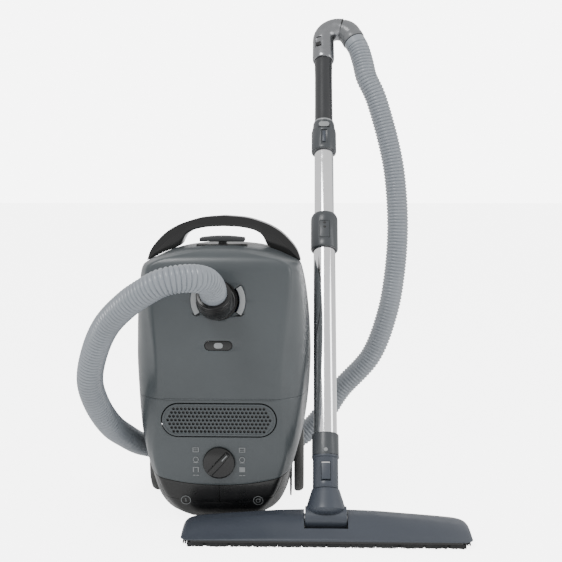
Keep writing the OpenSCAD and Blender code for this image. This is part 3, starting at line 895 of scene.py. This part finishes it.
def make_indicator():
    window = plate("bag_indicator_window", [stadium_outline(39.4, 13.0, INDICATOR_Z)],
                   lambda x, y, z: canister_point(x, y + 2.2, z), GLOSS_BLACK, 3.4, 0.4)
    bar = plate("bag_indicator_bar", [stadium_outline(13.0, 8.0, INDICATOR_Z)],
                lambda x, y, z: canister_point(x, y + 0.6, z), SILVER, 0.8, 0.2)
    piece = join("bag_indicator_window", [window, bar])
    settle(piece, "lid", "bag_indicator")


def make_grille():
    holes = []
    for row in range(-3, 4):
        for k in range(-14, 15):
            x, z = (k + 0.5 * (row % 2)) * 5.75, GRILLE_Z + row * 5.6
            reach = 78.5 - 21.0 + math.sqrt(max(20.5**2 - (z - GRILLE_Z) ** 2, 0)) - 1.5
            if abs(x) < reach:
                holes.append(ring_outline(2.15, x, z, 10))
    panel = plate("grille_panel", [stadium_outline(166.6, 47.6, GRILLE_Z)] + holes,
                  lambda x, y, z: canister_point(x, y + 1.6, z), BODY, 2.6, 0.25, 1)
    edges = [stadium_outline(166.6, 47.6, GRILLE_Z), stadium_outline(160.6, 41.6, GRILLE_Z)]
    rim = plate("grille_rim", edges,
                lambda x, y, z: canister_point(x, y + 0.2, z), BODY, 1.4, 0.5)
    piece = join("grille_panel", [panel, rim])
    settle(piece, "grille", "filter_grille")
    backing = prism(stadium_outline(163, 44, GRILLE_Z), canister_point, 4.2, 6.4)
    backing.data.materials[0] = BLACK
    backing.name = "grille_backing"
    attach(backing, "grille")


def make_knob():
    def place(x, y, s):
        return canister_point(x, s, KNOB_Z + y)

    profile = [(0.01, -5.4), (20.5, -5.2), (22.6, -4.4), (23.4, -3.0), (23.5, -0.8), (0.01, -0.8)]
    disc = lathe("knob_disc", profile, place, GLOSS_BLACK)
    turn = math.radians(-42)

    def tilted(x, y, z):
        dz = z - KNOB_Z
        return canister_point(x * math.cos(turn) - dz * math.sin(turn), y,
                              KNOB_Z + x * math.sin(turn) + dz * math.cos(turn))

    pointer = [(-4.2, -20), (4.2, -20), (4.6, 0), (3.6, 21), (-3.6, 21), (-4.6, 0)]
    ridge = prism([(x, KNOB_Z + z) for x, z in pointer], tilted, -13.7, -4.4)
    bevel_edges(ridge, 0.0016, 3)
    ridge.data.materials[0] = GLOSS_BLACK
    # A thin light strip along the pointer ridge is a painted highlight, in the print grey.
    sign_and_painted_highlight = prism(box_outline(-0.7, 0.7, KNOB_Z + 8, KNOB_Z + 19), tilted, -13.85, -13.6)
    sign_and_painted_highlight.data.materials[0] = PRINT_AND_HIGHLIGHT_GREY
    stem = lathe("stem", [(0.01, -1), (2.9, -1), (2.9, 19.8), (0.01, 19.8)], place, BLACK)
    piece = join("selector_knob_body", [disc, ridge, sign_and_painted_highlight, stem])
    settle(piece, "knob", "selector_knob")


def make_marks():
    """Plain printed signs beside the knob and on the pedals, with no letters."""
    parts = []

    def add(loops):
        parts.append(plate("sign_and_painted_highlight", loops, lambda x, y, z: on_face(x, y - 0.05, z), PRINT_AND_HIGHLIGHT_GREY, 0.1))

    for side in (-1, 1):
        x = side * 34
        add([box_outline(x - 4.6, x + 4.6, 114.5, 121.5), box_outline(x - 3.5, x + 3.5, 115.6, 120.4)])
        add([box_outline(x - 3.5, x + 3.5, 117.6, 118.4)])
        add([ring_outline(4.2, x, 103.5, 24), ring_outline(3.2, x, 103.5, 24)])
        add([box_outline(x - 3.6, x + 3.6, 98.4, 99.4)])
        if side > 0:
            add([box_outline(x - 4.2, x + 4.2, 85, 92.5)])
        else:
            add([box_outline(x - 4.4, x + 4.4, 91.2, 92.4)])
            add([box_outline(x - 4.4, x - 2.8, 84.6, 91.4)])
            add([box_outline(x + 2.8, x + 4.4, 84.6, 91.4)])
        add([box_outline(x - 4.4, x - 0.6, 79.2, 80.6)])
        add([box_outline(x + 0.6, x + 4.4, 79.2, 80.6)])
    cover_marks = join("selector_signs", parts)
    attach(cover_marks, "canister")
    for name, x, body in (("power_sign", -50, "pedal_power"), ("rewind_sign", 57, "pedal_rewind")):
        parts = []
        add([ring_outline(7.4, x, 40, 40), ring_outline(6.5, x, 40, 40)])
        if x < 0:
            add([box_outline(x - 0.5, x + 0.5, 37.2, 43)])
        else:
            add([ring_outline(3.4, x, 40, 24), ring_outline(2.5, x, 40, 24)])
            add([box_outline(x + 2.4, x + 3.4, 40, 44)])
        sign = join(name, parts) if len(parts) > 1 else parts[0]
        sign.name = name
        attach(sign, body)


def make_wheels():
    y0, z0 = (middle("rear_wheel_left").y - CANISTER.y) / MM, middle("rear_wheel_left").z / MM
    profile = [(0.01, 121), (9, 121), (10, 120), (14, 119.4), (36, 119.4), (39, 121.5), (42, 123.4),
               (46, 123.9), (50, 122.6), (52.4, 119.6), (53.4, 116), (53.4, 112), (52, 108.8), (49, 108.1),
               (20, 108.1), (6.2, 108.1), (6.2, 120), (0.01, 120)]
    for node, side in (("rear_wheel_left", -1), ("rear_wheel_right", 1)):
        def wheel_point(x, y, s, side=side):
            return canister_point(side * s, y0 + x, z0 + y)

        parts = [lathe(node + "_disc", profile, wheel_point, WHEEL, 96)]
        for k in range(6):
            a = math.radians(60 * k)

            def spoke_point(x, y, z, a=a, side=side):
                turned = x * math.cos(a) - z * math.sin(a), x * math.sin(a) + z * math.cos(a)
                return canister_point(side * y, y0 + turned[0], z0 + turned[1])

            rib = prism(box_outline(-1.6, 1.6, 14, 37), spoke_point, 119, 121)
            rib.data.materials[0] = WHEEL
            parts.append(rib)
        settle(join(node + "_disc", parts), node.replace("rear_wheel", "wheel"), node)


def pleated(name, x0, x1, y0, y1, z0, z1, pitch, material, along="x"):
    """A pleated filter pad: a zigzag top and bottom between two ends."""
    count = int((x1 - x0) / pitch)
    xs = np.linspace(x0, x1, 2 * count + 1)
    top = [(x, z1 if k % 2 else z1 - 0.45 * (z1 - z0)) for k, x in enumerate(xs)]
    low = [(x, z0 + 0.45 * (z1 - z0) if k % 2 else z0) for k, x in enumerate(xs)]
    outline = low + list(reversed(top))
    piece = prism(outline, canister_point, y0, y1)
    piece.name = name
    piece.data.materials[0] = material
    return piece


def make_filters():
    low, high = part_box("motor_filter")
    a, b = (Vector(low) - CANISTER) / MM, (Vector(high) - CANISTER) / MM
    settle(pleated("motor_filter_pad", a.x, b.x, a.y, b.y, a.z, b.z, 6.0, FILTER), "canister", "motor_filter")
    low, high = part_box("dust_bag")
    a, b = (Vector(low) - CANISTER) / MM, (Vector(high) - CANISTER) / MM
    centre, half = (a + b) / 2, (b - a) / 2
    points, faces = [], []
    rows, cols = 40, 64
    for i in range(rows + 1):
        v = math.pi * (i / rows - 0.5)
        for k in range(cols):
            u = 2 * math.pi * k / cols
            d = [math.cos(v) * math.cos(u), math.sin(v), math.cos(v) * math.sin(u)]
            d = [math.copysign(abs(c) ** 0.55, c) for c in d]
            crease = 1 - 0.018 * (1 + math.sin(9 * u + 4 * v)) - 0.012 * (1 + math.sin(23 * u - 9 * v))
            points.append(canister_point(centre.x + half.x * d[0] * crease, centre.y + half.y * d[1] * crease,
                                         centre.z + half.z * d[2] * crease))
    for i in range(rows):
        for k in range(cols):
            k2 = (k + 1) % cols
            faces.append((i * cols + k, i * cols + k2, (i + 1) * cols + k2, (i + 1) * cols + k))
    bag = mesh_piece("dust_bag_cloth", points, faces, BAG, sharp=60.0)
    weld(bag)
    shade(bag, 60.0)
    settle(bag, "canister", "dust_bag")


# ---------------------------------------------------------------- floor brush

BRUSH_HEIGHT = smooth_line([0, 60, 120, 170, 195, 202, 205], [36, 34.4, 30, 25, 21, 18, 15])
BRUSH_TOP = smooth_line([-45.5, -44.6, -43, -36, -12, 0, 14, 30, 43, 45.5],
                        [12.6, 13.6, 14.6, 18.4, 32, 35.6, 36, 31, 22, 18])


def brush_reach(x, front):
    """Half depth of the brush at a place across its width, with rounded corners."""
    r_x, r_y = (15.0, 13.0) if front else (24.0, 18.0)
    over = max(0.0, abs(x) - (205 - r_x)) / r_x
    return 45.5 - r_y * (1 - math.sqrt(max(0.0, 1 - min(over, 1.0) ** 2)))


def make_brush():
    loops = []
    depths = np.concatenate([[-45.5, -45.1, -44.6, -43.8, -43], np.linspace(-41, 41, 30), [43, 44.4, 45.5]])
    stations = [205 * math.sin(math.radians(a)) for a in np.linspace(-90, 90, 91)]
    for x in stations:
        lift = (BRUSH_HEIGHT(abs(x)) - 10) / 26
        loop = [(x, -0.98 * brush_reach(x, True), 10.0)]
        for y in depths:
            scale = brush_reach(x, y < 0) / 45.5
            loop.append((x, y * scale, 10 + (BRUSH_TOP(y) - 10) * lift))
        loop.append((x, 0.98 * brush_reach(x, False), 10.0))
        loops.append(loop)
    piece = loft("brush_top_shell", loops, brush_point, BRUSH_GREY, sharp=28.0)
    pocket = [(-28, 8), (33, 8), (33, 15), (60, 26), (60, 60), (-28, 60)]
    cut(piece, prism(pocket, brush_point, -31, 31, "x"))
    bevel_edges(piece, 0.0005, 2, 32)
    settle(piece, "floor_brush", "brush_top")


TUFT_FACES = [(0, 1, 5, 4), (1, 2, 6, 5), (2, 3, 7, 6), (3, 0, 4, 7), (0, 3, 2, 1), (4, 5, 6, 7)]


def make_bristles():
    rng = np.random.default_rng(7)
    points, faces = [], []

    def tuft(x, y, out_x, out_y, long):
        tall = 7.3
        low = 0.0 if long else rng.uniform(0.3, 1.2)
        wide, lean = rng.uniform(0.9, 1.3), rng.uniform(0.2, 1.4)
        base = len(points)
        for z, grow, half in ((tall, 0.0, wide), (low, lean, wide * 0.8)):
            for dx, dy in ((-half, -half), (half, -half), (half, half), (-half, half)):
                points.append(brush_point(x + dx + out_x * grow, y + dy + out_y * grow, z))
        for a, b, c, d in TUFT_FACES:
            faces.append((base + a, base + b, base + c, base + d))

    for row in range(3):
        inset = 4.2 + 3.0 * row
        for x in np.arange(-198 + inset, 198 - inset, 1.9):
            notch = abs((x + 17) % 34 - 17) < 1.3
            for side in (-1, 1):
                reach = brush_reach(x, side < 0)
                if not notch or row:
                    tuft(x, side * (reach - inset), 0, side, notch is False and rng.random() < 0.3)
        for y in np.arange(-30, 26, 1.9):
            for side in (-1, 1):
                tuft(side * (205 - inset), y, side, 0, rng.random() < 0.3)
    piece = mesh_piece("brush_bristle_tufts", points, faces, BRISTLE, smooth=False)
    settle(piece, "floor_brush", "brush_bristles")


# ---------------------------------------------------------------- wand


def window_cut(piece, half, low, high, depth=-15.0):
    cut(piece, prism(box_outline(-half, half, low, high), wand_point, -40, depth))


def wand_key(name, half, low, high, front, back, material, bevel=0.0006, segments=2):
    """A small block on the front of the wand."""
    key = prism(box_outline(-half, half, low, high), wand_point, front, back)
    bevel_edges(key, bevel, segments)
    key.data.materials[0] = material
    key.name = name
    return key


def steel_tube(name, inner, outer, low, high):
    profile = [(inner, low), (outer, low), (outer, high), (inner, high), (inner, low)]
    return lathe(name, profile, wand_point, CHROME, 96)


def make_knuckle():
    profile = [(17.8, 21), (17.8, 40.3), (20.2, 40.3), (20.7, 39.2), (22.2, 34), (24.6, 26.5), (26.9, 19),
               (28.6, 13.4), (29.2, 10.6), (27.6, 7), (24, 4), (20, 2.2), (17.8, 2.2), (17.8, 21)]
    bell = lathe("knuckle_bell", profile, wand_point, BRUSH_GREY)
    profile = [(0.01, -29.8), (16.2, -29.8), (16.9, -29), (16.9, 29), (16.2, 29.8), (0.01, 29.8)]
    barrel = lathe("knuckle_barrel", profile, lambda x, y, s: wand_point(s, x, y), BRUSH_GREY)
    settle(join("knuckle_bell", [bell, barrel]), "knuckle", "tilt_knuckle")


def make_neck():
    profile = [(14.7, 21), (17.4, 21), (17.4, 41), (18.3, 41.2), (18.8, 42), (18.8, 85.4), (19.6, 86),
               (20.2, 86.4), (20.2, 89.2), (17.6, 89.5), (17.6, 60), (14.7, 60), (14.7, 21)]
    neck = lathe("neck_sleeve", profile, wand_point, BRUSH_GREY)
    window_cut(neck, 7, 50, 78)
    bevel_edges(neck, 0.0003, 2, 40)
    settle(neck, "lower_wand", "neck")
    latch = wand_key("neck_latch_key", 6.4, 52.2, 75.8, -20.5, -18.9, BRUSH_GREY, 0.0007, 3)
    settle(latch, "tube_latch", "neck_latch")


def make_lower_wand():
    settle(steel_tube("lower_tube_steel", 16.6, 17.5, 60, 478.8), "lower_wand", "lower_tube")
    profile = [(17.6, 90), (20, 90), (20, 119.6), (19.4, 121.6), (18.2, 122.3), (17.6, 122.3), (17.6, 90)]
    collar = lathe("lower_collar_sleeve", profile, wand_point, COLLAR)
    profile = [(0.01, -20.9), (2.2, -20.6), (3.2, -19.6), (3.2, -16.5), (0.01, -16.5)]
    dot = lathe("collar_pin", profile, lambda x, y, s: wand_point(x, s, 95.5 + y), SILVER, 24)
    settle(join("lower_collar_sleeve", [collar, dot]), "lower_wand", "lower_collar")

    profile = [(17.6, 425), (18.6, 423.8), (21.2, 423.8), (22, 426), (22, 478), (21.4, 482), (19.2, 486.4),
               (18.2, 486.9), (16.4, 486.9), (16.4, 479.6), (17.6, 479.2), (17.6, 425)]
    collar = lathe("mid_collar_sleeve", profile, wand_point, COLLAR)
    window_cut(collar, 8, 438, 468, -16.2)
    bevel_edges(collar, 0.0003, 2, 40)
    settle(collar, "lower_wand", "mid_collar")
    key = wand_key("telescope_key", 7.6, 438.4, 467.6, -21.8, -20.0, COLLAR, 0.0006, 3)
    profile = [(0.01, -22.0), (1.9, -21.9), (2.0, -21.4), (0.01, -21.4)]
    dots = [lathe("dot", profile, lambda x, y, s, at=at: wand_point(x * 1.3, s, at + y), BLACK, 20)
            for at in (456.5, 464)]
    settle(join("telescope_key", [key] + dots), "length_button", "telescope_button")


def make_upper_wand():
    settle(steel_tube("upper_tube_steel", 15.1, 16, 330, 659.8), "upper_wand", "upper_tube")
    profile = [(16.1, 606), (18.5, 605.8), (20.4, 605.8), (21, 608), (21, 644), (20.4, 646.5), (18.6, 655),
               (18.1, 661.6), (16.1, 661.8), (16.1, 606)]
    collar = lathe("upper_collar_sleeve", profile, wand_point, COLLAR)
    window_cut(collar, 10, 644.5, 657.5, -17.0)
    window_cut(collar, 5.5, 613, 640, -18.6)
    bevel_edges(collar, 0.0003, 2, 40)
    bar = wand_key("collar_bar", 2.6, 617, 638, -20.2, -18.0, BRUSH_GREY)
    settle(join("upper_collar_sleeve", [collar, bar]), "upper_wand", "upper_collar")
    button = plate("release_key", [stadium_outline(17.6, 9.6, 651)],
                   lambda x, y, z: wand_point(x, y - 19.85, z), SILVER, 1.9, 0.5)
    settle(button, "release_button", "collar_button")

    profile = [(12.6, 662.6), (16.0, 662.6), (16.0, 664), (15.4, 672), (15.2, 700), (15.2, 760), (15.8, 790),
               (15.8, 811.8), (12.6, 811.8), (12.6, 662.6)]
    grip = lathe("grip_sleeve", profile, wand_point, GRIP)
    profile = [(15.6, 662.4), (16.6, 662.6), (16.9, 664), (16.6, 665.6), (15.6, 665.8), (15.6, 662.4)]
    band = lathe("grip_band", profile, wand_point, SILVER)
    settle(join("grip_sleeve", [grip, band]), "upper_wand", "handle_grip")


BEND_R, BEND_S, SEAM_TURN, CUFF_TURN = 26.0, 836.0, 105.0, 155.0


def bend_point(turn):
    a = math.radians(turn)
    return wand_point(BEND_R - BEND_R * math.cos(a), 0, BEND_S + BEND_R * math.sin(a))


def make_elbow():
    line = [wand_point(0, 0, s) for s in (792.4, 793, 796, 800, 806, 812, 818, 824, 830)]
    outer = [16.4, 18.2, 19.0, 19.2, 19.2, 19.1, 19.0, 19.0, 18.9]
    for turn in np.linspace(0, SEAM_TURN - 0.3, 26):
        line.append(bend_point(turn))
        outer.append(18.9 + 0.5 * max(0.0, (turn - 60) / 45))
    piece = sweep("handle_elbow_shell", line, outer, [16.1] * 6 + [15.1] * (len(line) - 6), LACQUER)
    turn = math.radians(-30)

    def turned(x, y, s):
        return wand_point(x * math.cos(turn) - y * math.sin(turn), x * math.sin(turn) + y * math.cos(turn), s)

    cut(piece, prism(box_outline(-6, 6, 813.4, 834.6), turned, -40, -16.4))
    bevel_edges(piece, 0.0004, 2, 45)
    ring_line = [bend_point(t) for t in np.linspace(SEAM_TURN - 4.5, SEAM_TURN - 0.3, 6)]
    ring = sweep("elbow_seam_ring", ring_line, [18.6, 19.8, 19.9, 19.9, 19.8, 18.6], [17.0] * 6, BLACK)
    settle(join("handle_elbow_shell", [piece, ring]), "upper_wand", "handle_elbow")
    slide = prism(box_outline(-4.8, 4.8, 815.2, 822.8), turned, -19.6, -17.9)
    bevel_edges(slide, 0.0006, 2)
    slide.data.materials[0] = BLACK
    slide.name = "air_slide_key"
    settle(slide, "air_valve", "air_slide")

    line, outer = [], []
    for turn in np.linspace(SEAM_TURN + 1.2, CUFF_TURN, 16):
        line.append(bend_point(turn))
        t = (turn - SEAM_TURN) / (CUFF_TURN - SEAM_TURN)
        outer.append(18.5 + 1.0 * math.sin(math.pi * min(t, 1.0)) + 1.2 * t)
    a = math.radians(CUFF_TURN)
    for d, r in ((2, 20.3), (6, 20.4), (10, 20.4), (11.6, 19.8)):
        line.append(bend_point(CUFF_TURN) + (WAND_SIDE * math.sin(a) + WAND_AXIS * math.cos(a)) * d * MM)
        outer.append(r)
    cuff = sweep("hose_cuff_shell", line, outer, [15.4] * (len(line) - 4) + [16.1] * 4, CUFF)
    settle(cuff, "cuff", "hose_cuff")


make_lid()
make_cover()
make_pedals()
make_tub()
make_handle()
make_latch()
make_socket()
make_indicator()
make_grille()
make_knob()
make_marks()
make_wheels()
make_filters()
make_brush()
make_bristles()
make_knuckle()
make_neck()
make_lower_wand()
make_upper_wand()
make_elbow()

for node, look in CAD_LOOKS.items():
    for slot in frame["nodes"][node].material_slots:
        slot.material = look
